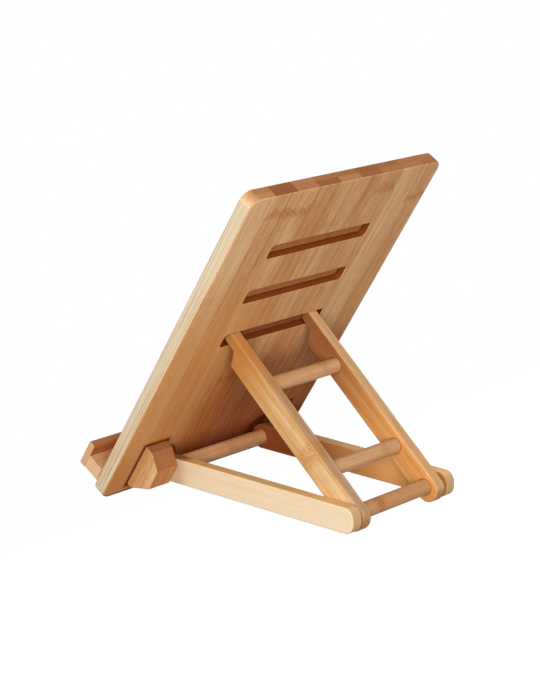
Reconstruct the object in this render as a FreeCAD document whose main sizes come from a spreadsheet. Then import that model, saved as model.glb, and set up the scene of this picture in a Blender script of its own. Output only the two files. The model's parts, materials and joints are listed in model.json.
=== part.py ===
"""Folding laminated bamboo easel for an open album, book or tablet.

A slotted back board leans on two legs whose stepped tips seat in one of three blind slots.
The board turns on a dowel through the front of a two-rail base, and the legs turn on a
second dowel at the rear of it.  Every piece is its own solid, written to parts/NAME.step.

Frame: millimetres, +Z up, +X to the right of a reader who faces +Y.  The origin lies on the
table, under the middle of the open stand.

Local frames, all with +X across the stand:
  board   +Y up the board from its bottom edge, +Z out of its front, back face at Z = 0
  base    +Y from the front pivot to the rear pivot, +Z up, origin on the front pivot
  leg     as it lies folded between the rails, origin on the rear pivot, tip towards -Y
"""
import FreeCAD, Part
import math
import os
import re
import Sketcher
from FreeCAD import Placement, Rotation, Vector

# Driving sizes in mm.  Each one can be changed by itself.
SIZES = {
    # back board, measured up its slope from its bottom edge
    "board_width": 210.0,
    "board_length": 300.0,
    "board_thickness": 11.5,
    "board_corner": 9.0,
    # blind slots for the leg tips
    "slot_count": 3,
    "first_slot": 147.0,
    "slot_pitch": 44.0,
    "slot_width": 13.0,
    "slot_depth": 6.0,
    "slot_corner": 3.0,
    "slot_side_room": 7.0,
    # ledge: a shelf bar on the front of the board, and a lip bar on the shelf
    "shelf_start": 10.5,
    "shelf_thickness": 11.6,
    "shelf_depth": 15.0,
    "lip_drop": 1.0,
    "lip_width": 22.9,
    "lip_thickness": 6.3,
    # front pivot above the board's bottom edge, and the hinge blocks around it
    "pivot_up": 30.0,
    "block_below": 20.2,
    "block_above": 20.5,
    "block_behind": 9.0,
    "block_width": 22.4,
    "foot_wall": 4.5,
    "foot_bevel": 13.0,
    "head_wall": 7.0,
    "head_bevel": 9.0,
    # base rails and legs, cut from one strip
    "strip_width": 20.0,
    "strip_thickness": 10.0,
    "base_width": 118.0,
    "pivot_spacing": 176.0,
    "end_overhang": 12.4,
    "end_corner": 8.5,
    "foot_corner": 9.7,
    # stepped leg tips
    "tongue_length": 13.5,
    "tongue_thickness": 9.0,
    "shoulder_length": 5.7,
    "shoulder_round": 1.5,
    "tongue_toe": 4.0,
    "tongue_heel": 1.0,
    # dowels, and how deep their blind bores go
    "dowel_diameter": 12.0,
    "dowel_chamfer": 0.8,
    "lower_cross": 39.0,
    "upper_cross": 118.0,
    "strip_bite": 7.0,
    "block_bite": 14.0,
    # pegs hidden in the glued joints
    "peg_diameter": 5.0,
    "board_bite": 5.0,
    "shelf_bite": 9.0,
    "block_peg_bite": 6.0,
    "block_peg_inset": 6.0,
    "lip_bite": 3.5,
    "shelf_peg_inset": 25.0,
    "lip_peg_inset": 45.0,
    # clearances
    "running_gap": 0.08,
    "glue_gap": 0.04,
    "end_gap": 0.5,
    "seat_gap": 0.3,
    "heel_floor_gap": 1.6,
    "board_gap": 0.5,
    "side_gap": 1.0,
    "block_gap": 0.3,
    "tip_gap": 3.5,
    # rounded edges
    "edge_round": 1.6,
    "strip_round": 1.2,
    "block_round": 0.7,
    "lip_round": 1.2,
    "slot_round": 0.6,
}

# Places that follow from the driving sizes, as formulas in their names.
HALF_WIDTH = "board_width / 2"
HALF_STRIP = "strip_width / 2"
RAIL_FACE = "(base_width / 2 - strip_thickness)"
LEG_FACE = "(base_width / 2 - 2 * strip_thickness - side_gap)"
BLOCK_FACE = "(base_width / 2 + block_gap)"
PIVOT_OUT = "(strip_width / 2 + board_gap)"
LEG_REACH = "(pivot_spacing - dowel_diameter / 2 - tip_gap)"
SLOT_END = "(base_width / 2 - strip_thickness - side_gap + slot_side_room)"
SHELF_MIDDLE = "(shelf_start + shelf_thickness / 2)"
SHELF_FRONT = "(board_thickness + shelf_depth)"
BLOCK_START = "(pivot_up - block_below)"
BLOCK_END = "(pivot_up + block_above)"
BLOCK_MIDDLE = "(base_width / 2 + block_gap + block_width / 2)"
TURNING_RADIUS = "dowel_diameter / 2 + running_gap"
GLUED_RADIUS = "dowel_diameter / 2 + glue_gap"
PEG_BORE = "peg_diameter / 2 + glue_gap"

LEFT, RIGHT = -1, 1
SIDE_NAMES = {LEFT: "left", RIGHT: "right"}
TINY = 0.01

document = FreeCAD.newDocument("album_easel")
sheet = document.addObject("Spreadsheet::Sheet", "Sizes")
parts = []


def fill_sheet():
    """One row for each driving size, with its name as the alias."""
    for row, (name, size) in enumerate(SIZES.items(), start=1):
        sheet.set("A%d" % row, name)
        sheet.set("B%d" % row, str(size))
        sheet.setAlias("B%d" % row, name)
    document.recompute()


def value(formula):
    """The number that a formula gives with the sheet's sizes."""
    return float(sheet.evalExpression(str(formula)))


def bind(thing, path, formula):
    """Tie a property to the sheet: each name in the formula becomes Sizes.name."""
    thing.setExpression(path, re.sub(r"([a-z_]+)", r"Sizes.\1", str(formula)))


# --- sketches ------------------------------------------------------------------------------

def new_sketch(body, name, plane="YZ_Plane", offset=None):
    """A sketch on one of the body's origin planes, moved along its normal by offset."""
    sketch = body.newObject("Sketcher::SketchObject", name)
    support = [item for item in body.Origin.OriginFeatures if item.Role == plane]
    sketch.AttachmentSupport = [(support[0], "")]
    sketch.MapMode = "FlatFace"
    if offset:
        bind(sketch, ".AttachmentOffset.Base.z", offset)
    return sketch


def constrain(sketch, *terms):
    return sketch.addConstraint(Sketcher.Constraint(*terms))


def hold(sketch, kind, formula, *geometry):
    """A dimension of the given kind that follows a formula."""
    row = constrain(sketch, kind, *geometry, value(formula))
    bind(sketch, "Constraints[%d]" % row, formula)


def pin_point(sketch, geometry, point, spot):
    """Hold a point of the sketch at a spot given by two formulas."""
    for kind, cross_axis, formula in zip(("DistanceX", "DistanceY"), (-2, -1), spot):
        if formula == 0:
            constrain(sketch, "PointOnObject", geometry, point, cross_axis)
        elif value(formula) > 0:
            hold(sketch, kind, formula, -1, 1, geometry, point)
        else:
            hold(sketch, kind, "-(%s)" % formula, geometry, point, -1, 1)


def add_polygon(sketch, corners):
    """A closed outline whose corners are pairs of formulas."""
    spots = [Vector(value(across), value(along), 0) for across, along in corners]
    followers = [(here + 1) % len(spots) for here in range(len(spots))]
    for spot, follower in zip(spots, followers):
        sketch.addGeometry(Part.LineSegment(spot, spots[follower]), False)
    for here, follower in enumerate(followers):
        constrain(sketch, "Coincident", here, 2, follower, 1)
        pin_point(sketch, here, 1, corners[here])


def add_circle(sketch, centre, radius):
    """A circle whose centre and radius are formulas."""
    spot = Vector(value(centre[0]), value(centre[1]), 0)
    circle = Part.Circle(spot, Vector(0, 0, 1), value(radius))
    geometry = sketch.addGeometry(circle, False)
    pin_point(sketch, geometry, 3, centre)
    hold(sketch, "Radius", radius, geometry)


def add_round_nosed_strip(sketch, end):
    """A strip with a half-round nose about the origin and a square end at +X = end."""
    half = value(HALF_STRIP)
    reach = value(end)
    corners = [Vector(0, -half, 0), Vector(reach, -half, 0),
               Vector(reach, half, 0), Vector(0, half, 0)]
    for start, stop in zip(corners, corners[1:]):
        sketch.addGeometry(Part.LineSegment(start, stop), False)
    nose = Part.Circle(Vector(), Vector(0, 0, 1), half)
    sketch.addGeometry(Part.ArcOfCircle(nose, math.pi / 2, 3 * math.pi / 2), False)
    constrain(sketch, "Coincident", 0, 2, 1, 1)
    constrain(sketch, "Coincident", 1, 2, 2, 1)
    constrain(sketch, "Tangent", 2, 2, 3, 1)
    constrain(sketch, "Tangent", 3, 2, 0, 1)
    constrain(sketch, "Coincident", 3, 3, -1, 1)
    constrain(sketch, "Horizontal", 0)
    constrain(sketch, "Horizontal", 2)
    constrain(sketch, "Vertical", 1)
    hold(sketch, "Radius", HALF_STRIP, 3)
    hold(sketch, "DistanceX", end, -1, 1, 0, 2)


# --- features ------------------------------------------------------------------------------

def new_body(label):
    body = document.addObject("PartDesign::Body", label)
    body.Label = label
    parts.append(body)
    return body


def finish(body, feature):
    """Recompute, and stop if the feature failed."""
    document.recompute()
    if "Invalid" in feature.State or "Error" in feature.State or feature.Shape.isNull():
        raise ValueError("%s: %s failed" % (body.Label, feature.Label))
    return feature


def pad(body, sketch, length, towards=1):
    """Grow the sketch along its normal, or against it where towards is -1."""
    feature = body.newObject("PartDesign::Pad", sketch.Name + "_pad")
    feature.Profile = sketch
    feature.Reversed = towards < 0
    bind(feature, "Length", length)
    return finish(body, feature)


def cut(body, sketch, depth, towards=1):
    """Cut the sketch into the wood along its normal, or against it where towards is -1."""
    volume = body.Shape.Volume
    feature = body.newObject("PartDesign::Pocket", sketch.Name + "_cut")
    feature.Profile = sketch
    feature.Reversed = towards > 0
    bind(feature, "Length", depth)
    finish(body, feature)
    if body.Shape.Volume > volume - TINY:
        raise ValueError("%s: %s cuts nothing" % (body.Label, sketch.Label))
    return feature


def spans(edge):
    box = edge.BoundBox
    return box.XLength, box.YLength, box.ZLength


def runs_along(edge, axis):
    """True for a straight edge along X, Y or Z (axis 0, 1 or 2)."""
    lengths = spans(edge)
    return lengths[axis] > TINY and sum(lengths) - lengths[axis] < TINY


def lies_at(edge, axis, place):
    """True for an edge that lies in one plane across X, Y or Z."""
    return spans(edge)[axis] < TINY and abs(edge.CenterOfMass[axis] - place) < TINY


def is_near(number, *targets):
    return any(abs(number - target) < TINY for target in targets)


def dress(body, kind, setting, formula, wanted):
    """A fillet or chamfer on the edges of the tip for which wanted(edge) is true."""
    tip = body.Tip
    names = ["Edge%d" % count for count, edge in enumerate(tip.Shape.Edges, start=1)
             if wanted(edge)]
    if not names:
        raise ValueError("%s: no edge to dress" % body.Label)
    feature = body.newObject("PartDesign::" + kind, kind)
    feature.Base = (tip, names)
    bind(feature, setting, formula)
    return finish(body, feature)


def round_off(body, radius, wanted):
    return dress(body, "Fillet", "Radius", radius, wanted)


# --- the open pose -------------------------------------------------------------------------

def turned(pair, angle):
    """A (Y, Z) pair turned from +Y towards +Z by an angle in radians."""
    return (pair[0] * math.cos(angle) - pair[1] * math.sin(angle),
            pair[0] * math.sin(angle) + pair[1] * math.cos(angle))


def corner_angle(first, second, opposite):
    """The angle between two sides of a triangle, from its three lengths."""
    return math.acos((first ** 2 + second ** 2 - opposite ** 2) / (2 * first * second))


def open_angles():
    """The angles of the board and of the legs above the rails, tips in the first slot.

    The heel of each tongue bears on the slot's upper wall, so the two pivots and the centre
    of the heel's rounding make a triangle with known sides.
    """
    heel_up = value("first_slot + slot_width - seat_gap - tongue_heel - pivot_up")
    heel_out = value("heel_floor_gap + tongue_heel - slot_depth - " + PIVOT_OUT)
    reach = value(LEG_REACH + " - tongue_heel")
    rise = value(HALF_STRIP + " - tongue_heel")
    spacing = value("pivot_spacing")
    leg_side = math.hypot(reach, rise)
    board_side = math.hypot(heel_up, heel_out)
    board = corner_angle(board_side, spacing, leg_side) + math.atan2(heel_out, heel_up)
    leg = corner_angle(leg_side, spacing, board_side) - math.atan2(rise, reach)
    return board, leg


def level_slope(board, leg):
    """How far the rails tip down to the rear, and how high the front pivot stands.

    The stand rests on the rounded bottom edge of the board and on the rounded feet.
    """
    rim, corner = value("edge_round"), value("foot_corner")
    front = turned((rim - value("pivot_up"), rim + value(PIVOT_OUT)), board)
    foot = turned((value("end_overhang") - corner, corner - value(HALF_STRIP)), -leg)
    run, rise = value("pivot_spacing") + foot[0] - front[0], foot[1] - front[1]
    slope = math.atan2(rise, run) - math.asin((corner - rim) / math.hypot(run, rise))
    return slope, rim - turned(front, -slope)[1]


def group_frames():
    """The placements of the base, board and leg groups in the open pose."""
    board, leg = open_angles()
    slope, height = level_slope(board, leg)
    print("board %.2f, leg %.2f, slope %.2f" % tuple(map(math.degrees, (board, leg, slope))))
    across = Vector(1, 0, 0)
    base = Placement(Vector(0, 0, height), Rotation(across, -math.degrees(slope)))
    lean = Placement(Vector(), Rotation(across, math.degrees(board)))
    hang = Placement(Vector(0, -value("pivot_up"), value(PIVOT_OUT)), Rotation())
    rear = Vector(0, value("pivot_spacing"), 0)
    prop = Placement(rear, Rotation(across, -math.degrees(leg)))
    return base, base * lean * hang, base * prop


def stand(thing, frame, *spot):
    """Place a part in its group's frame, at a spot given by formulas."""
    shift = Vector(*[value(formula) for formula in spot])
    thing.Placement = frame * Placement(shift, Rotation())


# --- pieces of the board -------------------------------------------------------------------

def back_board(frame):
    """One glued panel with rounded corners, blind slots and blind peg bores."""
    body = new_body("back_board")
    panel = new_sketch(body, "Panel", "XY_Plane")
    add_polygon(panel, [("-" + HALF_WIDTH, 0), (HALF_WIDTH, 0),
                        (HALF_WIDTH, "board_length"), ("-" + HALF_WIDTH, "board_length")])
    pad(body, panel, "board_thickness")
    round_off(body, "board_corner", lambda edge: runs_along(edge, 2))
    front = value("board_thickness")
    round_off(body, "edge_round", lambda edge: lies_at(edge, 2, 0) or lies_at(edge, 2, front))
    cut_slots(body)
    bore_for_pegs(body, block_peg_spots(LEFT) + block_peg_spots(RIGHT), "board_bite")
    bore_for_pegs(body, shelf_peg_spots(), "board_bite", "board_thickness", -1)
    stand(body, frame, 0, 0, 0)


def cut_slots(body):
    """A row of blind slots in the back face, with rounded ends and eased mouths."""
    slot = new_sketch(body, "Slot", "XY_Plane")
    top = "first_slot + slot_width"
    add_polygon(slot, [("-" + SLOT_END, "first_slot"), (SLOT_END, "first_slot"),
                       (SLOT_END, top), ("-" + SLOT_END, top)])
    first = cut(body, slot, "slot_depth")
    row = body.newObject("PartDesign::LinearPattern", "Slots")
    row.Originals = [first]
    row.Direction = (slot, ["V_Axis"])
    bind(row, "Length", "slot_pitch * (slot_count - 1)")
    bind(row, "Occurrences", "slot_count")
    body.Tip = row
    finish(body, row)
    end = value(SLOT_END)
    round_off(body, "slot_corner",
              lambda edge: runs_along(edge, 2) and is_near(edge.CenterOfMass.x, -end, end))
    low, high = value("first_slot"), value("board_length - edge_round")
    round_off(body, "slot_round",
              lambda edge: lies_at(edge, 2, 0) and abs(edge.CenterOfMass.x) < end + TINY
              and low - TINY < edge.CenterOfMass.y < high - TINY)


def bore_for_pegs(body, spots, depth, face=None, towards=1):
    """Blind bores for pegs, square to the board, from the face at Z = face."""
    count = len(body.Group)
    sketch = new_sketch(body, "Pegs_%d" % count, "XY_Plane", face)
    for spot in spots:
        add_circle(sketch, spot, PEG_BORE)
    cut(body, sketch, depth + " + end_gap", towards)


def shelf_peg_spots():
    inset = "(%s - shelf_peg_inset)" % HALF_WIDTH
    return [("-" + inset, SHELF_MIDDLE), (0, SHELF_MIDDLE), (inset, SHELF_MIDDLE)]


def lip_peg_spots():
    inset = "(%s - lip_peg_inset)" % HALF_WIDTH
    return [("-" + inset, SHELF_MIDDLE), (inset, SHELF_MIDDLE)]


def block_peg_spots(side, middle=BLOCK_MIDDLE):
    across = middle if side > 0 else "-" + middle
    return [(across, BLOCK_START + " + block_peg_inset"),
            (across, BLOCK_END + " - block_peg_inset")]


def ledge_shelf(frame):
    """The bar that the album stands on, glued and pegged to the board."""
    body = new_body("ledge_shelf")
    profile = new_sketch(body, "Profile", offset="-" + HALF_WIDTH)
    top = "shelf_start + shelf_thickness"
    add_polygon(profile, [("shelf_start", "board_thickness"), (top, "board_thickness"),
                          (top, SHELF_FRONT), ("shelf_start", SHELF_FRONT)])
    pad(body, profile, "board_width")
    round_off(body, "slot_round", lambda edge: runs_along(edge, 2))
    bore_for_pegs(body, shelf_peg_spots(), "shelf_bite", "board_thickness")
    bore_for_pegs(body, lip_peg_spots(), "lip_bite", SHELF_FRONT, -1)
    stand(body, frame, 0, 0, 0)


def ledge_lip(frame):
    """The bar that keeps the album on the shelf."""
    body = new_body("ledge_lip")
    profile = new_sketch(body, "Profile", offset="-" + HALF_WIDTH)
    low = "shelf_start - lip_drop"
    high = low + " + lip_width"
    front = SHELF_FRONT + " + lip_thickness"
    add_polygon(profile, [(low, SHELF_FRONT), (high, SHELF_FRONT), (high, front), (low, front)])
    pad(body, profile, "board_width")
    round_off(body, "lip_round", lambda edge: True)
    bore_for_pegs(body, lip_peg_spots(), "lip_bite", SHELF_FRONT)
    stand(body, frame, 0, 0, 0)


def hinge_block(frame, side):
    """A bevelled block on the back of the board, bored blind for the front pivot."""
    body = new_body("hinge_block_" + SIDE_NAMES[side])
    profile = new_sketch(body, "Profile")
    back = "-(%s + block_behind)" % PIVOT_OUT
    add_polygon(profile, [(BLOCK_START, 0), (BLOCK_START, "-foot_wall"),
                          (BLOCK_START + " + foot_bevel", back),
                          (BLOCK_END + " - head_bevel", back),
                          (BLOCK_END, "-head_wall"), (BLOCK_END, 0)])
    pad(body, profile, "block_width", side)
    round_off(body, "block_round", lambda edge: not lies_at(edge, 2, 0))
    bore = new_sketch(body, "Pivot_bore")
    add_circle(bore, ("pivot_up", "-" + PIVOT_OUT), TURNING_RADIUS)
    cut(body, bore, "block_bite", side)
    bore_for_pegs(body, block_peg_spots(side, "block_width / 2"), "block_peg_bite", towards=-1)
    stand(body, frame, "%d * %s" % (side, BLOCK_FACE), 0, 0)


def peg_group(label, frame, spots, start, length):
    """Identical pegs square to the board, as one group of separate cylinders."""
    pegs = []
    for across, along in spots:
        peg = document.addObject("Part::Cylinder", label + "_peg")
        bind(peg, "Radius", "peg_diameter / 2")
        bind(peg, "Height", length)
        stand(peg, frame, across, along, start)
        pegs.append(peg)
    group = document.addObject("Part::Compound", label)
    group.Label = label
    group.Links = pegs
    parts.append(group)


# --- pieces of the base and the support ----------------------------------------------------

def ease_strip(body, side):
    """Round the long edges of a strip, on its inner and outer faces."""
    outer = side * value("strip_thickness")
    round_off(body, "strip_round", lambda edge: lies_at(edge, 0, 0) or lies_at(edge, 0, outer))


def bore_strip(body, name, along, radius, depth, side):
    """A bore across a strip, from its inner face."""
    sketch = new_sketch(body, name)
    add_circle(sketch, (along, 0), radius)
    cut(body, sketch, depth, side)


def base_rail(frame, side):
    """A side rail: half-round about the front pivot, round-cornered at the rear."""
    body = new_body("base_rail_" + SIDE_NAMES[side])
    profile = new_sketch(body, "Profile")
    add_round_nosed_strip(profile, "pivot_spacing + end_overhang")
    pad(body, profile, "strip_thickness", side)
    end = value("pivot_spacing + end_overhang")
    round_off(body, "end_corner",
              lambda edge: runs_along(edge, 0) and is_near(edge.CenterOfMass.y, end))
    ease_strip(body, side)
    bore_strip(body, "Front_bore", 0, GLUED_RADIUS, "strip_thickness", side)
    bore_strip(body, "Rear_bore", "pivot_spacing", TURNING_RADIUS, "strip_bite", side)
    stand(body, frame, "%d * %s" % (side, RAIL_FACE), 0, 0)


def support_leg(frame, side):
    """A leg with rounded foot and a stepped tip: a sloping shoulder below a thin tongue."""
    body = new_body("support_leg_" + SIDE_NAMES[side])
    profile = new_sketch(body, "Profile")
    tip = "-%s" % LEG_REACH
    step = tip + " + tongue_length"
    under = HALF_STRIP + " - tongue_thickness"
    add_polygon(profile, [(step + " + shoulder_length", "-" + HALF_STRIP),
                          ("end_overhang", "-" + HALF_STRIP), ("end_overhang", HALF_STRIP),
                          (tip, HALF_STRIP), (tip, under), (step, under)])
    pad(body, profile, "strip_thickness", side)
    round_leg_corners(body)
    ease_strip(body, side)
    bore_strip(body, "Pivot_bore", 0, GLUED_RADIUS, "strip_thickness", side)
    for name in ("lower_cross", "upper_cross"):
        bore_strip(body, name.capitalize(), "-" + name, GLUED_RADIUS, "strip_bite", side)
    stand(body, frame, "%d * %s" % (side, LEG_FACE), 0, 0)


def round_leg_corners(body):
    """The foot, the toe and heel of the tongue, and both ends of the shoulder."""
    foot, tip = value("end_overhang"), -value(LEG_REACH)
    under = value(HALF_STRIP + " - tongue_thickness")

    def corner(edge, along, *heights):
        middle = edge.CenterOfMass
        return runs_along(edge, 0) and is_near(middle.y, along) and is_near(middle.z, *heights)

    half = value(HALF_STRIP)
    step = tip + value("tongue_length")
    round_off(body, "foot_corner", lambda edge: corner(edge, foot, -half, half))
    round_off(body, "tongue_toe", lambda edge: corner(edge, tip, under))
    round_off(body, "tongue_heel", lambda edge: corner(edge, tip, half))
    shoulder = step + value("shoulder_length")
    round_off(body, "shoulder_round",
              lambda edge: corner(edge, step, under) or corner(edge, shoulder, -half))


def dowel(label, frame, reach, along=0):
    """A round dowel across the stand, reaching the same way past both sides."""
    body = new_body(label)
    section = new_sketch(body, "Section", offset="-(%s)" % reach)
    add_circle(section, (0, 0), "dowel_diameter / 2")
    pad(body, section, "2 * (%s)" % reach)
    dress(body, "Chamfer", "Size", "dowel_chamfer", lambda edge: spans(edge)[0] < TINY)
    stand(body, frame, 0, along, 0)


# --- the whole stand -----------------------------------------------------------------------

def build_parts():
    base, board, leg = group_frames()
    back_board(board)
    ledge_shelf(board)
    ledge_lip(board)
    peg_group("shelf_pegs", board, shelf_peg_spots(), "board_thickness - board_bite",
              "board_bite + shelf_bite")
    peg_group("lip_pegs", board, lip_peg_spots(), SHELF_FRONT + " - lip_bite", "2 * lip_bite")
    for side in (LEFT, RIGHT):
        hinge_block(board, side)
        peg_group("block_pegs_" + SIDE_NAMES[side], board, block_peg_spots(side),
                  "-block_peg_bite", "block_peg_bite + board_bite")
        base_rail(base, side)
        support_leg(leg, side)
    dowel("front_pivot_dowel", base, BLOCK_FACE + " + block_bite - end_gap")
    dowel("rear_pivot_dowel", leg, RAIL_FACE + " + strip_bite - end_gap")
    dowel("lower_cross_dowel", leg, LEG_FACE + " + strip_bite - end_gap", "-lower_cross")
    dowel("upper_cross_dowel", leg, LEG_FACE + " + strip_bite - end_gap", "-upper_cross")
    document.recompute()


def centre_stand():
    """Slide everything along Y until the stand's box is centred on the origin."""
    boxes = [part.Shape.optimalBoundingBox(False) for part in parts]
    middle = (min(box.YMin for box in boxes) + max(box.YMax for box in boxes)) / 2
    shift = Placement(Vector(0, -middle, 0), Rotation())
    for thing in document.Objects:
        if thing in parts and thing.TypeId != "Part::Compound" or thing.TypeId == "Part::Cylinder":
            thing.Placement = shift * thing.Placement
    document.recompute()


def check_parts():
    """Stop if anything in the document failed or any part isn't a sound solid."""
    for thing in document.Objects:
        if "Invalid" in thing.State or "Error" in thing.State:
            raise ValueError("%s failed" % thing.Label)
    for part in parts:
        if part.Shape.isNull() or not part.Shape.isValid() or not part.Shape.Solids:
            raise ValueError("%s is not a sound solid" % part.Label)


def write_parts():
    os.makedirs("parts", exist_ok=True)
    for part in parts:
        part.Shape.exportStep("parts/%s.step" % part.Label)
        box = part.Shape.optimalBoundingBox(False)
        print("%-20s %8.1f mm3  Y %7.2f..%7.2f  Z %7.2f..%7.2f" % (
            part.Label, part.Shape.Volume, box.YMin, box.YMax, box.ZMin, box.ZMax))


fill_sheet()
build_parts()
centre_stand()
check_parts()
write_parts()
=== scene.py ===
# %% [markdown]
# # A folding bamboo easel
#
# The easel arrives as a imported model: every bar, dowel and block is already there, in its
# own size and place. This lesson adds the looks: bamboo with its fibres, its cane joints and
# its darker cut ends, then a camera, soft lamps and a pale table. First the model is loaded.

# %% Load the imported easel
import json
import math
import bmesh
import bpy
from mathutils import Euler, Matrix, Vector


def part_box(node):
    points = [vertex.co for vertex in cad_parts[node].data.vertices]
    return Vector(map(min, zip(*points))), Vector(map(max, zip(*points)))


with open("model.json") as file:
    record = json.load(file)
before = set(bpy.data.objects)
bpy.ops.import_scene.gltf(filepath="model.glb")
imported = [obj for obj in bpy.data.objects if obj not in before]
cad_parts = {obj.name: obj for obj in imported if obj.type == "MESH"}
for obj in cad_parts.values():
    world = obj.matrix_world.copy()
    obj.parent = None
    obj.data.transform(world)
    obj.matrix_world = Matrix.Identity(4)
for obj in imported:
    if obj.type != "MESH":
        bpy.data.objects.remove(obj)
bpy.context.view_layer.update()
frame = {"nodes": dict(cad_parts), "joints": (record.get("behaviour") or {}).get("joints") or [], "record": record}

MM = 0.001
print("nodes:", ", ".join(sorted(frame["nodes"])))

# %% [markdown]
# ## Which way the wood runs
#
# Bamboo is a bundle of fibres, so every finish below needs to know which way the fibres run
# in its piece. The angles could be typed in, but the model already knows them: a line from
# the front pivot to the rear pivot runs along the rails, the face that the album leans on
# gives the lean of the board, and the legs stand above the rails by as much as they can
# swing down. So they are read from the model.

# %% Angles of the board, rails and legs
joints = {joint["name"]: joint for joint in frame["joints"]}
mounts = {mount["name"]: mount for mount in frame["record"]["mounts"]}
front_pivot = Vector(joints["board_tilt"]["pos_m"])
rear_pivot = Vector(joints["legs_swing"]["pos_m"])
board_facing = Vector(mounts["board_front"]["axis"])

rail_angle = math.atan2(rear_pivot.z - front_pivot.z, rear_pivot.y - front_pivot.y)
board_angle = math.atan2(-board_facing.y, board_facing.z)
leg_angle = rail_angle - math.radians(joints["legs_swing"]["range_deg"][1])
for name, angle in (("board", board_angle), ("rails", rail_angle), ("legs", leg_angle)):
    print(name, "runs at", round(math.degrees(angle), 2), "degrees")

# %% [markdown]
# ## The camera
#
# The camera looks at the easel from behind and from one side, from just above the table,
# with a long lens, so that the board's edges stay nearly parallel. It could be dragged into
# place by eye, but two angles and a distance say more: an azimuth, walked round the table
# from the reader's seat, and an elevation above the table top. The camera then leans over
# by a small roll.

# %% Point from the easel towards an azimuth and an elevation
def direction(azimuth, elevation):
    """A unit vector: azimuth 0 is the reader's side, 90 is +X, 180 is behind the easel."""
    round_table, above = math.radians(azimuth), math.radians(elevation)
    level = math.cos(above)
    return Vector((math.sin(round_table) * level, -math.cos(round_table) * level, math.sin(above)))


# %% Place the camera
CAMERA_TARGET = Vector((0.0, -0.01242, 0.10798))
CAMERA_DISTANCE = 1.614
CAMERA_ROLL = math.radians(-1.8)
LENS_MM = 109.2


def place_camera(azimuth, elevation):
    back = direction(azimuth, elevation)
    data = bpy.data.cameras.new("camera")
    data.lens = LENS_MM
    data.clip_end = 20.0
    camera = bpy.data.objects.new("camera", data)
    turn = (-back).to_track_quat("-Z", "Y").to_matrix().to_4x4()
    roll = Matrix.Rotation(CAMERA_ROLL, 4, "Z")
    place = Matrix.Translation(CAMERA_TARGET + back * CAMERA_DISTANCE)
    camera.matrix_world = place @ turn @ roll
    bpy.context.scene.collection.objects.link(camera)
    bpy.context.scene.camera = camera
    return camera


camera = place_camera(azimuth=132.83, elevation=13.78)
print("camera at", [round(part, 3) for part in camera.matrix_world.translation])

# %% [markdown]
# ## Helpers for shader nodes
#
# A finish is a small graph of nodes. Written out one by one, each node takes four or five
# lines, and the idea drowns in them. So a graph gets a helper that adds one node and wires
# its inputs at once: an input that is another node's output is linked, and any other is
# typed in. A few more helpers name the sums that every finish needs.

# %% A small graph helper
class Graph:
    """A tree of shader nodes, with short ways to add and join them."""

    def __init__(self, tree):
        self.tree = tree
        self.tree.nodes.clear()

    def join(self, socket, value):
        if isinstance(value, bpy.types.NodeSocket):
            self.tree.links.new(value, socket)
        else:
            socket.default_value = value

    def add(self, kind, inputs=(), **settings):
        node = self.tree.nodes.new("ShaderNode" + kind)
        for name, value in settings.items():
            setattr(node, name, value)
        for key, value in dict(inputs).items():
            self.join(node.inputs[key], value)
        return node

    def maths(self, operation, *terms):
        return self.add("Math", dict(enumerate(terms)), operation=operation).outputs[0]

    def plus(self, *terms):
        total = terms[0]
        for term in terms[1:]:
            total = self.maths("ADD", total, term)
        return total

    def times(self, *terms):
        total = terms[0]
        for term in terms[1:]:
            total = self.maths("MULTIPLY", total, term)
        return total

    def less(self, first, second):
        return self.maths("SUBTRACT", first, second)

    def most(self, first, second):
        return self.maths("MAXIMUM", first, second)

    def size(self, value):
        return self.maths("ABSOLUTE", value)

    def off(self, value, middle):
        """How far a value is from a middle, either way."""
        return self.size(self.less(value, middle))

    def length(self, vector):
        return self.add("VectorMath", {0: vector}, operation="LENGTH").outputs["Value"]

    def step(self, value, low, high):
        """0 below low, 1 above high, and smooth in between."""
        inputs = {"Value": value, "From Min": low, "From Max": high}
        node = self.add("MapRange", inputs, interpolation_type="SMOOTHSTEP")
        return node.outputs["Result"]

    def fall(self, value, low, high):
        """1 below low, 0 above high, and smooth in between."""
        return self.less(1.0, self.step(value, low, high))

    def scale(self, value, low, high):
        """A value from 0 to 1, stretched to run from low to high."""
        inputs = {"Value": value, "To Min": low, "To Max": high}
        return self.add("MapRange", inputs, clamp=False).outputs["Result"]

    def parts(self, vector):
        """The X, Y and Z of a vector."""
        return self.add("SeparateXYZ", {0: vector}).outputs

    def blend(self, factor, first, second):
        node = self.add("Mix", data_type="RGBA")
        for socket, value in zip((node.inputs[0], node.inputs[6], node.inputs[7]),
                                 (factor, first, second)):
            self.join(socket, value)
        return node.outputs[2]

    def noise(self, place, detail=2.0, roughness=0.5):
        """Soft noise from 0 to 1, one blob to a unit of the place."""
        inputs = {"Vector": place, "Scale": 1.0, "Detail": detail, "Roughness": roughness}
        return self.add("TexNoise", inputs).outputs["Fac"]

    def pick(self, number, values):
        """The value that stands at a whole number in a short list."""
        share = self.maths("DIVIDE", self.plus(number, 0.5), float(len(values)))
        ramp = self.add("ValToRGB", {0: share})
        ramp.color_ramp.interpolation = "CONSTANT"
        stops = ramp.color_ramp.elements
        for place, value in enumerate(values):
            start = place / len(values)
            stop = stops[place] if place < 2 else stops.new(start)
            stop.position = start
            stop.color = (value, value, value, 1.0)
        return self.add("RGBToBW", {0: ramp.outputs[0]}).outputs[0]


def colour(red, green, blue):
    return (red, green, blue, 1.0)


def finish_graph(name):
    """A new material, and the graph to build it in."""
    material = bpy.data.materials.new(name)
    material.use_nodes = True
    return material, Graph(material.node_tree)


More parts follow.
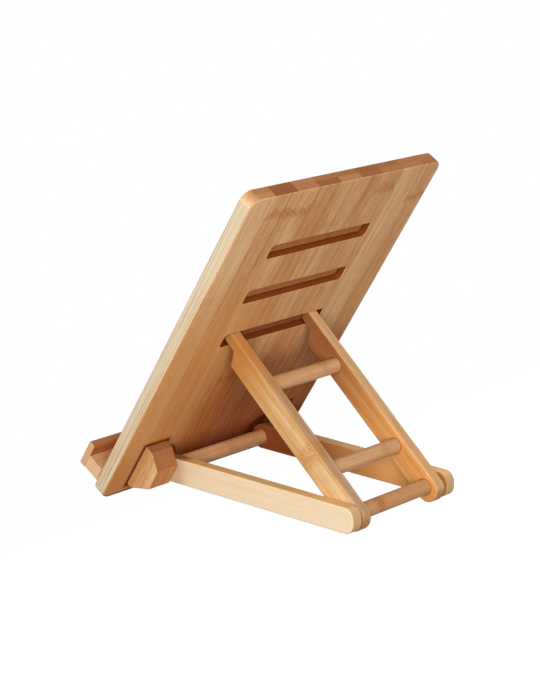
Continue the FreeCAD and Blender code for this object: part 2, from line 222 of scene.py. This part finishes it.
# %% [markdown]
# ## Lamps, table and backdrop
#
# The easel stands on a plain white card. A broad lamp, like a window, lights it from the
# right of the reader, a low and stronger one lights its back, and one hangs over the
# reader's left shoulder. A ring of small lamps would give hard, crossing shadows, so there
# are three, each over a metre wide.
#
# The card and the room look white to the camera, but they throw little light back, because
# the shaded hollows of the easel are deep and warm: what lights them is mostly other wood.
# Light Path tells the two apart. Close to the easel the card is a touch less than white by
# itself, so that the lamps' shadows still show on it.
#
# The easel stands at the front edge of the card. When the board tips forward off its legs,
# its foot and its ledge swing down past that edge, so the card starts just behind the
# front pivot.

# %% Light the room
WHITE = colour(1.0, 1.0, 1.0)
ROOM_LIGHT = 0.2


def sees_backdrop(graph):
    """1 for rays from the camera and for mirror and glass rays."""
    path = graph.add("LightPath").outputs
    seen = graph.most(path["Is Camera Ray"], path["Is Glossy Ray"])
    return graph.most(seen, path["Is Transmission Ray"])


def light_room():
    world = bpy.data.worlds.new("room")
    bpy.context.scene.world = world
    world.use_nodes = True
    graph = Graph(world.node_tree)
    strength = graph.scale(sees_backdrop(graph), ROOM_LIGHT, 1.0)
    room = graph.add("Background", {"Color": WHITE, "Strength": strength})
    graph.add("OutputWorld", {"Surface": room.outputs[0]})


light_room()
print("room light away from the camera:", ROOM_LIGHT)

# %% Hang the lamps
LAMP_DISTANCE = 1.8
LAMP_SIDE = 1.2


def hang_lamp(name, azimuth, elevation, power):
    """A square area lamp that faces the middle of the easel."""
    data = bpy.data.lights.new(name, "AREA")
    data.size = LAMP_SIDE
    data.energy = power
    lamp = bpy.data.objects.new(name, data)
    towards = direction(azimuth, elevation)
    lamp.rotation_mode = "QUATERNION"
    lamp.rotation_quaternion = towards.to_track_quat("Z", "Y")
    lamp.location = CAMERA_TARGET + towards * LAMP_DISTANCE
    bpy.context.scene.collection.objects.link(lamp)
    print(name, "at", [round(part, 2) for part in lamp.location], "with", power, "W")


hang_lamp("window_lamp", azimuth=66, elevation=24, power=10.0)
hang_lamp("low_lamp", azimuth=137, elevation=12, power=34.5)
hang_lamp("shoulder_lamp", azimuth=320, elevation=50, power=24.0)

# %% Lay the table
TABLE_SIDE = 12.0
TABLE_EDGE = front_pivot.y + 12 * MM
CARD_GREY = colour(0.22, 0.22, 0.22)
CARD_LIT = colour(0.3, 0.3, 0.3)
CARD_FLECKS = (900, 900, 900)
GLOW_NEAR, GLOW_FAR = 0.93, 1.0


def card_finish():
    """A card that looks white to the camera but throws little light back."""
    material, graph = finish_graph("white_card")
    place = graph.add("TexCoord").outputs["Object"]
    fine = graph.add("Mapping", {"Vector": place, "Scale": CARD_FLECKS}).outputs[0]
    fleck = graph.times(graph.less(graph.noise(fine), 0.5), 0.01)
    away = graph.step(graph.length(place), 0.15, 0.5)
    glow = graph.plus(graph.scale(away, GLOW_NEAR, GLOW_FAR), fleck)
    card = graph.add("BsdfDiffuse", {"Color": CARD_GREY})
    lit = graph.add("BsdfDiffuse", {"Color": CARD_LIT})
    shine = graph.add("Emission", {"Color": WHITE, "Strength": glow})
    seen = graph.add("AddShader", {0: lit.outputs[0], 1: shine.outputs[0]})
    choice = graph.add("MixShader", {0: sees_backdrop(graph), 1: card.outputs[0],
                                     2: seen.outputs[0]})
    graph.add("OutputMaterial", {"Surface": choice.outputs[0]})
    return material


def lay_table():
    sheet = bmesh.new()
    bmesh.ops.create_grid(sheet, x_segments=1, y_segments=1, size=TABLE_SIDE / 2)
    bmesh.ops.translate(sheet, verts=sheet.verts, vec=(0.0, TABLE_EDGE + TABLE_SIDE / 2, 0.0))
    data = bpy.data.meshes.new("table")
    sheet.to_mesh(data)
    sheet.free()
    table = bpy.data.objects.new("table", data)
    bpy.context.scene.collection.objects.link(table)
    data.materials.append(card_finish())
    print("table", TABLE_SIDE, "m square, its front edge at y =", round(TABLE_EDGE, 4))


lay_table()
bpy.context.scene.view_settings.view_transform = "Standard"

# %% [markdown]
# ## Bamboo
#
# Laminated bamboo is glued from strips, each a slice of the cane's wall. Along a strip run
# fine straight fibres. Where the cane had a joint, the strip has a short patch of broken,
# curly fibres. Across its ends the same fibres show as dots, and an end drinks more oil,
# so it is darker and redder than a face. No two strips took the same colour.
#
# A picture of bamboo could be wrapped round each piece, but it would stretch on the rounded
# edges and end at the corners. Here the pattern is solid: it fills the piece and shows
# wherever the piece is cut, so grain runs over an edge. Where a surface faces along the
# fibres, end grain takes over. The pattern is built in the piece's own frame, with X across
# the strips, Y along the fibres and Z through the thickness.

# %% Stand in the piece's own frame
def grain_frame(graph, origin, turn):
    """Where a point lies in the piece, and which way its surface faces there."""
    back = Euler(turn).to_matrix().inverted()
    shift = -(back @ Vector(origin))
    place = graph.add("TexCoord").outputs
    point = graph.add("Mapping", {"Vector": place["Object"], "Location": shift,
                                  "Rotation": back.to_euler()})
    facing = graph.add("Mapping", {"Vector": place["Normal"], "Rotation": back.to_euler()},
                       vector_type="VECTOR")
    return point.outputs[0], facing.outputs[0]


def stretch(graph, point, across, along, through=None):
    """Scale space so that one unit is the given number of millimetres each way."""
    sizes = (across, along, through or across)
    return graph.add("Mapping", {"Vector": point,
                                 "Scale": [1 / (size * MM) for size in sizes]}).outputs[0]


# %% [markdown]
# ### Fibres
#
# Fibres are noise drawn out along the piece: soft bands a few millimetres wide, and fine
# lines within them. A wave texture would give the lines too, but evenly spaced, like
# corduroy. Noise gives lines of every width, which is how a cane's wall is built: the
# bundles crowd together near its skin and thin out inside.

# %% Draw the fibres
def fibres(graph, point, fine=1.3):
    """Soft bands, fine lines with dark pores among them, and a mottle, each from 0 to 1."""
    bands = graph.step(graph.noise(stretch(graph, point, 5.0, 190.0), 2.0), 0.3, 0.7)
    lines = graph.step(graph.noise(stretch(graph, point, fine, 60.0), 3.0, 0.65), 0.33, 0.67)
    pores = graph.step(graph.noise(stretch(graph, point, 0.6, 9.0), 1.0), 0.56, 0.66)
    lines = graph.plus(graph.times(lines, 0.75), graph.times(pores, 0.45))
    mottle = graph.noise(stretch(graph, point, 9.0, 30.0), 2.0)
    return bands, lines, mottle


# %% [markdown]
# ### Cane joints
#
# Where the cane had a joint, the long fibres part and curl round it. On the flat of a strip
# that leaves a patch a centimetre long: a thin bowed line, with short dark dashes above and
# below it. The patch is a band at one height, broken up by noise that is hardly drawn out.

# %% Mark a cane joint
WANDER = 12.0 * MM


def cane_joint(graph, point, height, reach=6.5):
    """1 on the curly marks round a cane joint at a height along the piece, in metres."""
    along = graph.parts(point)[1]
    wander = graph.less(graph.noise(stretch(graph, point, 7.0, 7.0), 1.0), 0.5)
    away = graph.size(graph.plus(graph.less(along, height), graph.times(wander, WANDER)))
    band = graph.fall(away, 0.35 * reach * MM, reach * MM)
    swirl = graph.noise(stretch(graph, point, 3.4, 5.0), 3.0, 0.6)
    turns = graph.maths("FRACT", graph.times(swirl, 7.0))
    curls = graph.step(graph.off(turns, 0.5), 0.18, 0.4)
    bow = graph.fall(away, 0.2 * MM, 0.9 * MM)
    marks = graph.plus(graph.times(band, graph.scale(curls, 0.12, 0.9)), graph.times(bow, 0.4))
    return graph.maths("MINIMUM", marks, 1.0)


# %% [markdown]
# ### End grain
#
# A strip cut across shows its fibre bundles end on, as a dense field of dark dots. Voronoi
# cells, drawn out through the piece, give one dot to a cell.

# %% Dot the end grain
def end_dots(graph, point):
    """From 0 between the bundles to 1 on a bundle."""
    cells = graph.add("TexVoronoi", {"Vector": stretch(graph, point, 0.75, 7.0), "Scale": 1.0})
    return graph.fall(cells.outputs["Distance"], 0.12, 0.5)


# %% [markdown]
# ### From a colour to a finish
#
# Every piece is rubbed with oil, not varnished, so its shine is soft: the shader's roughness
# is high, a little higher on the fibres than between them, and the fibres stand up by a few
# hundredths of a millimetre. The shine is lower than on real oiled wood, and the board has
# none, because the white room shows in it as a grey veil over the darker wood.

# %% Oil the wood
SMOOTHEST, ROUGHEST = 0.40, 0.58


def oil(graph, wood, relief, shine=0.06):
    """Join the colour and the relief to a satin shader."""
    bump = graph.add("Bump", {"Height": relief, "Strength": 0.16, "Distance": 0.2 * MM})
    roughness = graph.scale(relief, SMOOTHEST, ROUGHEST)
    shader = graph.add("BsdfPrincipled", {"Base Color": wood, "Roughness": roughness,
                                          "Normal": bump.outputs[0]})
    shader.inputs["Specular IOR Level"].default_value = shine
    graph.add("OutputMaterial", {"Surface": shader.outputs[0]})


# %% [markdown]
# ## The board
#
# The board is drawn as two layers of nine strips. In both layers the seams come every 23 mm
# from its +X edge, and each strip has a tone of its own on its face and another in its end.
# The tones could be left to chance, but a maker sorts a batch of strips by eye, so they are
# given in short lists.
#
# Four kinds of surface show on it. The faces are tan. The long side edges are pale, with
# fine darker streaks. The ends are dark end grain, a patchwork of both layers' tones. The
# floors and walls of the slots are red-brown.
#
# The hollow behind the legs lies in a deep, warm shade, deeper than these lamps alone make
# it. So part of that shade is painted: the back of the board darkens towards its foot, in
# its slots, and round the blocks and the rails' ends. It is a compromise, because painted
# shade stays on the wood when the light or the pose changes.

# %% Choose the board's colours
STRIP_COUNT = 9
STRIP_WIDTH = 2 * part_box("back_board")[1][0] / STRIP_COUNT / MM
LAYER = 5.75 * MM
FACE_TONES = (0.10, 0.50, 0.32, 0.60, 0.36, 0.50, 0.46, 0.16, 0.42)
BACK_END_TONES = (0.15, 0.90, 0.40, 0.80, 0.25, 0.70, 0.42, 0.32, 0.50)
FRONT_END_TONES = (0.40, 0.85, 0.35, 0.55, 0.58, 0.78, 0.64, 0.45, 0.40)
BOARD_PALE, BOARD_DEEP = colour(0.88, 0.56, 0.295), colour(0.60, 0.23, 0.075)
# The amber, shade and foot colours are painted shade for the hollow behind the legs; the shade colour also marks
# the cane joints.
BOARD_AMBER, BOARD_SHADE = colour(0.74, 0.31, 0.08), colour(0.49, 0.115, 0.027)
BOARD_FOOT_SHADE = colour(0.15, 0.026, 0.005)
EDGE_PALE, EDGE_DEEP = colour(0.98, 0.88, 0.62), colour(0.62, 0.34, 0.14)
END_PALE, END_DEEP = colour(0.54, 0.25, 0.105), colour(0.26, 0.08, 0.029)
SLOT_PALE, SLOT_DEEP = colour(0.60, 0.23, 0.085), colour(0.26, 0.065, 0.014)
print(STRIP_COUNT, "strips of", round(STRIP_WIDTH, 2), "mm")

# %% Number the board's strips
SEAM_HALF, SEAM_BLUR = 0.10, 0.12


def strips(graph, point):
    """Each strip's number from the +X edge, its own random shift, and a mask for seams."""
    across, along, through = graph.parts(point)
    half = STRIP_WIDTH * STRIP_COUNT / 2 * MM
    column = graph.maths("DIVIDE", graph.less(half, across), STRIP_WIDTH * MM)
    last = float(STRIP_COUNT - 1)
    number = graph.most(graph.maths("MINIMUM", graph.maths("FLOOR", column), last), 0.0)
    front = graph.maths("GREATER_THAN", through, LAYER)
    label = graph.add("CombineXYZ", {"X": number, "Y": front}).outputs[0]
    shift = graph.add("TexWhiteNoise", {"Vector": label}, noise_dimensions="3D").outputs["Color"]
    aside = graph.off(graph.maths("FRACT", column), 0.5)
    line = 0.5 - SEAM_HALF / STRIP_WIDTH
    seam = graph.step(aside, line - SEAM_BLUR / STRIP_WIDTH, line)
    return number, front, shift, column, seam


# %% Colour the faces
JOINT_HEIGHTS = (0.204, 0.281, 0.278, 0.108, 0.257, 0.040, 0.283, 0.128, 0.266)
JOINT_DEPTHS = (0.25, 0.8, 0.95, 0.9, 0.4, 0.3, 0.7, 0.15, 0.75)


def face_wood(graph, number, bands, lines, mottle):
    tone = graph.plus(graph.pick(number, FACE_TONES), graph.times(bands, 0.30),
                      graph.times(lines, 0.52), graph.times(graph.less(mottle, 0.5), 0.4), -0.33)
    return graph.blend(tone, BOARD_PALE, BOARD_DEEP)


def strip_joints(graph, point, number):
    """The marks of each strip's own cane joint, some faint and some deep."""
    marks = cane_joint(graph, point, graph.pick(number, JOINT_HEIGHTS))
    return graph.times(marks, graph.pick(number, JOINT_DEPTHS))


# %% [markdown]
# Each of the shades on the back is full below one height up the board and gone above
# another. The amber one is strongest in the third of the board by the +X edge, and the
# small one at the edge lies there too. The two darkest start a strip or so in from that
# edge, because the window lamp and the low lamp both stand on its side.

# %% Paint the shade behind the legs
AMBER_FADE = (150 * MM, 250 * MM)
LOW_FADE = (60 * MM, 165 * MM)
FOOT_FADE = (26 * MM, 55 * MM)
EDGE_FADE = (15 * MM, 75 * MM)


def shade_back(graph, face, lines, along, column, back):
    """Amber up to the slots, brown lower down and darkest at the foot."""
    amber = graph.times(back, graph.fall(along, *AMBER_FADE),
                        graph.scale(graph.fall(column, 3.0, 4.6), 0.08, 0.62))
    low = graph.times(back, graph.fall(along, *LOW_FADE), graph.step(column, 1.4, 4.0))
    foot = graph.times(back, graph.fall(along, *FOOT_FADE), graph.step(column, 0.6, 2.2))
    by_edge = graph.times(back, graph.fall(along, *EDGE_FADE), graph.fall(column, 1.6, 2.6))
    face = graph.blend(amber, face, BOARD_AMBER)
    face = graph.blend(graph.times(low, 0.74), face, BOARD_SHADE)
    face = graph.blend(graph.times(foot, 0.74), face, BOARD_FOOT_SHADE)
    face = graph.blend(graph.times(by_edge, 0.35), face, BOARD_SHADE)
    return graph.blend(graph.times(lines, graph.scale(low, 0.10, 0.42)), face, BOARD_FOOT_SHADE)


# %% Paint the shade round the blocks and the rails' ends
block_low, block_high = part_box("hinge_block_right")
BLOCK_ACROSS = (block_low[0] + block_high[0]) / 2
BLOCK_HALF_WIDTH = (block_high[0] - block_low[0]) / 2
BLOCK_UP, BLOCK_HALF_HEIGHT = 30.2 * MM, 20.3 * MM
RAIL_ACROSS, RAIL_UP = 54.5 * MM, 30.0 * MM
print("blocks at", round(BLOCK_ACROSS / MM, 1), "mm from the middle")


def nooks(graph, across, along, through):
    """The shade where the back meets a block or a rail's end, and along its lower rim."""
    out = graph.size(across)
    beside = graph.most(graph.less(graph.off(out, BLOCK_ACROSS), BLOCK_HALF_WIDTH),
                        graph.less(graph.off(along, BLOCK_UP), BLOCK_HALF_HEIGHT))
    from_rail = graph.add("CombineXYZ", {"X": graph.less(out, RAIL_ACROSS),
                                         "Y": graph.less(along, RAIL_UP)})
    rail_end = graph.length(from_rail.outputs[0])
    touching = graph.most(graph.fall(beside, 0.8 * MM, 5.0 * MM),
                          graph.fall(rail_end, 12.0 * MM, 15.0 * MM))
    rim = graph.times(graph.fall(along, 1.4 * MM, 4.0 * MM), 0.85)
    return graph.times(graph.most(touching, rim), graph.fall(through, 1.5 * MM, 3.5 * MM))


# %% Colour the edges and ends
def edge_wood(graph, point, along, mottle):
    streaks = graph.noise(stretch(graph, point, 1.0, 130.0, 0.9), 1.5, 0.5)
    # The edge is darker in patches towards the foot of the board.
    low_patches = graph.times(graph.fall(along, 10 * MM, 90 * MM), graph.step(mottle, 0.45, 0.65), 0.3)
    streaks = graph.plus(graph.times(graph.step(streaks, 0.52, 0.60), 0.64), low_patches)
    return graph.blend(streaks, EDGE_PALE, EDGE_DEEP)


def end_wood(graph, number, front, back, dots):
    tone = graph.plus(graph.times(graph.pick(number, BACK_END_TONES), back),
                      graph.times(graph.pick(number, FRONT_END_TONES), front))
    return graph.blend(graph.plus(tone, graph.scale(dots, -0.12, 0.14)), END_PALE, END_DEEP)


# %% Colour the slots
SLOT_FIELD_FOOT = (120 * MM, 125 * MM)
SLOT_FIELD_TOP = (270 * MM, 275 * MM)
SLOT_FIELD_SIDE = (95 * MM, 98 * MM)
FIRST_SLOT_TOP = (162 * MM, 168 * MM)


def inside_slots(graph, across, along, through):
    """1 below the surface in the field that the slots are cut in."""
    sunk = graph.times(graph.step(through, 0.1 * MM, 0.6 * MM),
                       graph.fall(through, 9 * MM, 10 * MM))
    field = graph.times(graph.step(along, *SLOT_FIELD_FOOT), graph.fall(along, *SLOT_FIELD_TOP))
    return graph.times(sunk, field, graph.fall(graph.size(across), *SLOT_FIELD_SIDE))


def slot_wood(graph, across, along, through, face_z, lines):
    """Paler floors, deep walls, and painted shade in the corners and the first slot."""
    floor = graph.step(graph.size(face_z), 0.5, 0.9)
    wall = graph.less(1.0, floor)
    wood = graph.blend(graph.plus(graph.times(lines, floor, 0.45), wall), SLOT_PALE, SLOT_DEEP)
    crease = graph.times(graph.step(through, 3.4 * MM, 5.6 * MM), wall, 0.6)
    outer = graph.step(graph.size(across), 42 * MM, 52 * MM)
    first = graph.times(graph.fall(along, *FIRST_SLOT_TOP), graph.scale(outer, 0.45, 1.0))
    return graph.blend(graph.most(crease, first), wood, BOARD_FOOT_SHADE)


# %% Build the board's finish
def board_finish(origin, turn):
    material, graph = finish_graph("panel_bamboo")
    point, facing = grain_frame(graph, origin, turn)
    across, along, through = graph.parts(point)
    face_x, face_y, face_z = graph.parts(facing)
    number, front, shift, column, seam = strips(graph, point)
    back = graph.less(1.0, front)
    own = graph.add("VectorMath", {0: point, 1: shift}, operation="ADD").outputs[0]
    bands, lines, mottle = fibres(graph, own, 1.1)

    face = face_wood(graph, number, bands, lines, mottle)
    face = shade_back(graph, face, lines, along, column, back)
    marks = strip_joints(graph, point, number)
    face = graph.blend(graph.times(marks, 0.85), face, BOARD_SHADE)
    sidewise = graph.step(graph.size(face_x), 0.78, 0.97)
    wood = graph.blend(sidewise, face, edge_wood(graph, point, along, mottle))

    dots = end_dots(graph, own)
    endwise = graph.step(graph.size(face_y), 0.5, 0.9)
    wood = graph.blend(endwise, wood, end_wood(graph, number, front, back, dots))
    wood = graph.blend(nooks(graph, across, along, through), wood, BOARD_FOOT_SHADE)
    corner = graph.times(graph.step(graph.size(face_x), 0.15, 0.5),
                         graph.step(face_y, 0.05, 0.35), 0.6)
    wood = graph.blend(corner, wood, EDGE_DEEP)
    # A real glue line between the board's two layers, and dark seams between its strips.
    glue_and_shade = graph.fall(graph.off(through, LAYER), 0.06 * MM, 0.22 * MM)
    wood = graph.blend(graph.times(graph.most(seam, glue_and_shade), 0.35), wood, END_DEEP)
    wood = graph.blend(inside_slots(graph, across, along, through), wood,
                       slot_wood(graph, across, along, through, face_z, lines))

    relief = graph.plus(graph.times(lines, 0.7), graph.times(dots, endwise, 0.3),
                        graph.times(marks, -0.4))
    oil(graph, wood, relief, shine=0.0)
    return material


# %% [markdown]
# ## Rails, legs, ledge and blocks
#
# These are sawn from single thick slats, so they have no seams. One recipe serves them all,
# with a colour for each side: outer is the side away from the middle of the easel, inner
# faces the middle, top is for the narrow faces and end for the sawn ends. The slats differ
# in their colours, in where a cane joint crosses them, and in how warm their upper end is.
#
# Some of the difference between the sides is wood, and some is shade. As on the board, the
# deep shade on the inner faces and in the nooks is painted, and so stays where it is.
#
# Where a dowel enters a slat, its bore has a dark rim, a thin ring of painted shadow round
# the rod. It is drawn at the place and size of the dowel in the model.

# %% Helpers for the slats
def deeper(shade, amount):
    """A darker, redder colour: more oil in end grain and fibres, and painted shade in rims, seams and gaps."""
    red, green, blue = shade
    return colour(red * 0.86 ** amount, green * 0.72 ** amount, blue * 0.56 ** amount)


def bore_rim(graph, dowel_name):
    """1 on a thin ring of painted shadow round the dowel of this name."""
    low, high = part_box(dowel_name)
    middle, radius = (low + high) / 2, (high.z - low.z) / 2
    place = graph.add("TexCoord").outputs["Object"]
    spot = graph.add("Mapping", {"Vector": place, "Location": (0.0, -middle.y, -middle.z),
                                 "Scale": (0.0, 1.0, 1.0)}).outputs[0]
    aside = graph.off(graph.length(spot), radius + 0.25 * MM)
    return graph.fall(aside, 0.15 * MM, 0.85 * MM)


# %% Build the finish of a sawn slat
NOOK_ON_FLATS = colour(0.85, 0.85, 0.85)


def slat_finish(name, origin, turn, outer, inner, top, end, bottom=None, bores=(), joint=None,
                warm=None, shaded=None, figure=0.8, glue_and_shade=None, groove=None, nook=None):
    """Bamboo with a colour for each side. Places are in millimetres in the slat's frame.

    warm, shaded and nook are two places along the slat and a colour, which is full up to
    the first place and gone at the second. shaded paints shade on the inner faces, and nook
    paints shade in the nook at the slat's end. joint is the place of a cane joint. The two
    depths for the glued face are where painted shade begins along it. groove is two distances
    from the middle between which a slat has painted shade where it faces its neighbour, and
    where that starts.
    """
    material, graph = finish_graph(name)
    point, facing = grain_frame(graph, origin, turn)
    across, along, through = graph.parts(point)
    face_x, face_y, face_z = graph.parts(facing)
    bands, lines, mottle = fibres(graph, point)
    depth = graph.times(graph.plus(graph.times(bands, 0.5), graph.times(lines, 0.6),
                                   graph.times(mottle, 0.5), -0.35), figure)

    def side(shade):
        return graph.blend(depth, colour(*shade), deeper(shade, 1.6))

    outward = graph.step(graph.times(face_x, graph.maths("SIGN", across)), -0.3, 0.3)
    sidewise = graph.step(graph.size(face_x), 0.45, 0.85)
    hidden = side(inner)
    # Painted shade on the inner faces.
    if shaded:
        hidden = graph.blend(graph.fall(along, shaded[0] * MM, shaded[1] * MM), hidden,
                             side(shaded[2]))
    flat = side(top)
    if bottom:
        flat = graph.blend(graph.step(face_z, -0.3, 0.3), side(bottom), flat)
    wood = graph.blend(sidewise, flat, graph.blend(outward, hidden, side(outer)))
    if warm:
        upper = graph.fall(along, warm[0] * MM, warm[1] * MM)
        wood = graph.blend(graph.times(upper, 0.85), wood, colour(*warm[2]))
    if joint is not None:
        marks = graph.times(cane_joint(graph, point, joint * MM, 11.0), 0.9)
        wood = graph.blend(marks, wood, deeper(inner, 1.8))
    dots = end_dots(graph, point)
    endwise = graph.step(graph.size(face_y), 0.5, 0.9)
    sawn = graph.blend(graph.times(dots, 0.6), colour(*end), deeper(end, 1.5))
    wood = graph.blend(endwise, wood, sawn)
    # Painted shadow round each bore.
    for dowel_name in bores:
        rim = graph.times(bore_rim(graph, dowel_name), graph.less(1.0, outward), 0.75)
        wood = graph.blend(rim, wood, deeper(end, 3.0))
    # Painted shade along the seam where a block meets the board.
    if glue_and_shade:
        wood = graph.blend(graph.times(graph.step(through, glue_and_shade[0] * MM, glue_and_shade[1] * MM), 0.7),
                           wood, deeper(end, 2.0))
    # Painted shade in the nook at the slat's end.
    if nook:
        dark = graph.blend(sidewise, NOOK_ON_FLATS, graph.scale(outward, 0.0, 0.3))
        dark = graph.times(graph.fall(along, nook[0] * MM, nook[1] * MM), dark)
        wood = graph.blend(dark, wood, colour(*nook[2]))
    # Painted shade where the slat faces its neighbour across the gap.
    if groove:
        near, far, start = groove
        dark = graph.times(graph.step(graph.size(across), near * MM, far * MM),
                           graph.step(along, start * MM, (start + 3) * MM))
        wood = graph.blend(graph.times(dark, 0.85), wood, deeper(end, 4.0))
    oil(graph, wood, graph.plus(graph.times(lines, 0.7), graph.times(dots, endwise, 0.3)))
    return material


# %% [markdown]
# ## Dowels
#
# A dowel is turned from a slat, so its fibres run along it, and a cane joint shows as a few
# dark flecks round it. Its frame is turned so that the fibres run from side to side.

# %% Build a dowel's finish
ALONG_X = (0.0, 0.0, math.pi / 2)


def dowel_finish(name, shade, joint, fleck):
    material, graph = finish_graph(name)
    point, facing = grain_frame(graph, (0.0, 0.0, 0.0), ALONG_X)
    bands, lines, mottle = fibres(graph, point, 1.1)
    depth = graph.plus(graph.times(bands, 0.25), graph.times(lines, 0.62),
                       graph.times(graph.less(mottle, 0.5), 0.6))
    wood = graph.blend(depth, colour(*shade), deeper(shade, 1.4))
    marks = graph.times(cane_joint(graph, point, joint * MM, 7.0), fleck)
    wood = graph.blend(marks, wood, deeper(shade, 3.0))
    dots = end_dots(graph, point)
    endwise = graph.step(graph.size(graph.parts(facing)[1]), 0.5, 0.9)
    end = graph.blend(graph.times(dots, 0.7), deeper(shade, 1.2), deeper(shade, 2.8))
    wood = graph.blend(endwise, wood, end)
    oil(graph, wood, graph.plus(graph.times(lines, 0.7), graph.times(dots, endwise, 0.3)))
    return material


# %% [markdown]
# ## Finish each piece
#
# Each group of pieces has colours of its own, partly as if cut from its own batch of
# bamboo, and partly painted shade.
# The rails are the palest, the legs are golden, the blocks and the ledge are browner, and
# the board is a warm tan. The finishes are made first, then each piece takes one by name.

# %% Make the finishes
BOARD_TURN = (board_angle, 0.0, 0.0)
RAIL_TURN = (rail_angle, 0.0, 0.0)
LEG_TURN = (leg_angle, 0.0, 0.0)
LEDGE_TURN = (0.0, -board_angle, math.pi / 2)
PIVOT_IN_BOARD = Vector((0.0, 30.0, -10.5)) * MM
board_foot = front_pivot - Euler(BOARD_TURN).to_matrix() @ PIVOT_IN_BOARD
CROSS_DOWELS = ("rear_pivot_dowel", "lower_cross_dowel", "upper_cross_dowel")
PIVOTS = ("front_pivot_dowel", "rear_pivot_dowel")

panel = board_finish(board_foot, BOARD_TURN)
# The rails' shaded and nook colours are painted shade on their front inner faces and noses.
rail = slat_finish("rail_bamboo", front_pivot, RAIL_TURN, outer=(0.89, 0.71, 0.485),
                   inner=(0.92, 0.455, 0.15), top=(0.80, 0.52, 0.225), end=(0.66, 0.42, 0.21),
                   bores=PIVOTS, figure=0.3, shaded=(30.0, 125.0, (0.37, 0.095, 0.027)),
                   groove=(49.9, 49.2, 172.0), nook=(12.0, 26.0, (0.24, 0.075, 0.025)))
right_leg = slat_finish("right_leg_bamboo", rear_pivot, LEG_TURN, outer=(0.77, 0.54, 0.28),
                        inner=(0.72, 0.36, 0.13), top=(0.64, 0.45, 0.295), end=(0.50, 0.25, 0.10),
                        bores=CROSS_DOWELS, joint=-53.0, figure=1.5,
                        warm=(-150.0, -90.0, (0.58, 0.225, 0.047)), groove=(46.8, 47.7, -4.0))
# The left leg's shaded colour is painted shade on its upper inner face.
left_leg = slat_finish("left_leg_bamboo", rear_pivot, LEG_TURN, outer=(0.76, 0.50, 0.25),
                       inner=(0.87, 0.455, 0.158), top=(0.76, 0.49, 0.255), end=(0.50, 0.25, 0.10),
                       bores=CROSS_DOWELS, joint=-204.0, figure=1.0,
                       shaded=(-140.0, -45.0, (0.40, 0.16, 0.06)), groove=(46.8, 47.7, -4.0))
# The blocks' near-black inner colour is painted shade, for the gap where each rail turns against its block.
block = slat_finish("block_bamboo", board_foot, BOARD_TURN, outer=(0.83, 0.56, 0.305),
                    inner=(0.16, 0.04, 0.013), top=(0.78, 0.38, 0.15), end=(0.36, 0.14, 0.053),
                    bores=("front_pivot_dowel",), figure=1.7, glue_and_shade=(-1.1, -0.5))
# The lip's dark outer and bottom colours are painted shade, for its faces in the trough against the board.
lip = slat_finish("lip_bamboo", board_foot, LEDGE_TURN, outer=(0.31, 0.12, 0.042),
                  inner=(0.66, 0.36, 0.16), top=(0.70, 0.41, 0.20), bottom=(0.37, 0.15, 0.055),
                  end=(0.69, 0.40, 0.20))
shelf = slat_finish("shelf_bamboo", board_foot, LEDGE_TURN, outer=(0.55, 0.33, 0.17),
                    inner=(0.70, 0.41, 0.20), top=(0.70, 0.41, 0.20), end=(0.77, 0.50, 0.285))
dowel = dowel_finish("dowel_bamboo", (0.71, 0.43, 0.23), joint=22.0, fleck=0.4)
front_dowel = dowel_finish("front_dowel_bamboo", (0.76, 0.43, 0.21), joint=10.0, fleck=0.3)
rear_dowel = dowel_finish("rear_dowel_bamboo", (0.64, 0.345, 0.16), joint=-18.0, fleck=0.8)

# %% Lay the finishes on the pieces
FINISHES = {"back_board": panel, "ledge_lip": lip, "ledge_shelf": shelf,
            "hinge_block": block, "base_rail": rail,
            "support_leg_left": left_leg, "support_leg_right": right_leg,
            "rear_pivot_dowel": rear_dowel, "front_pivot_dowel": front_dowel}


def finish_for(name):
    """The finish whose key is in the name. The cross dowels and the pegs share one."""
    for key, material in FINISHES.items():
        if key in name:
            return material
    return dowel


for name, node in frame["nodes"].items():
    node.data.materials.clear()
    node.data.materials.append(finish_for(name))
    print(name, "is finished in", node.data.materials[0].name)
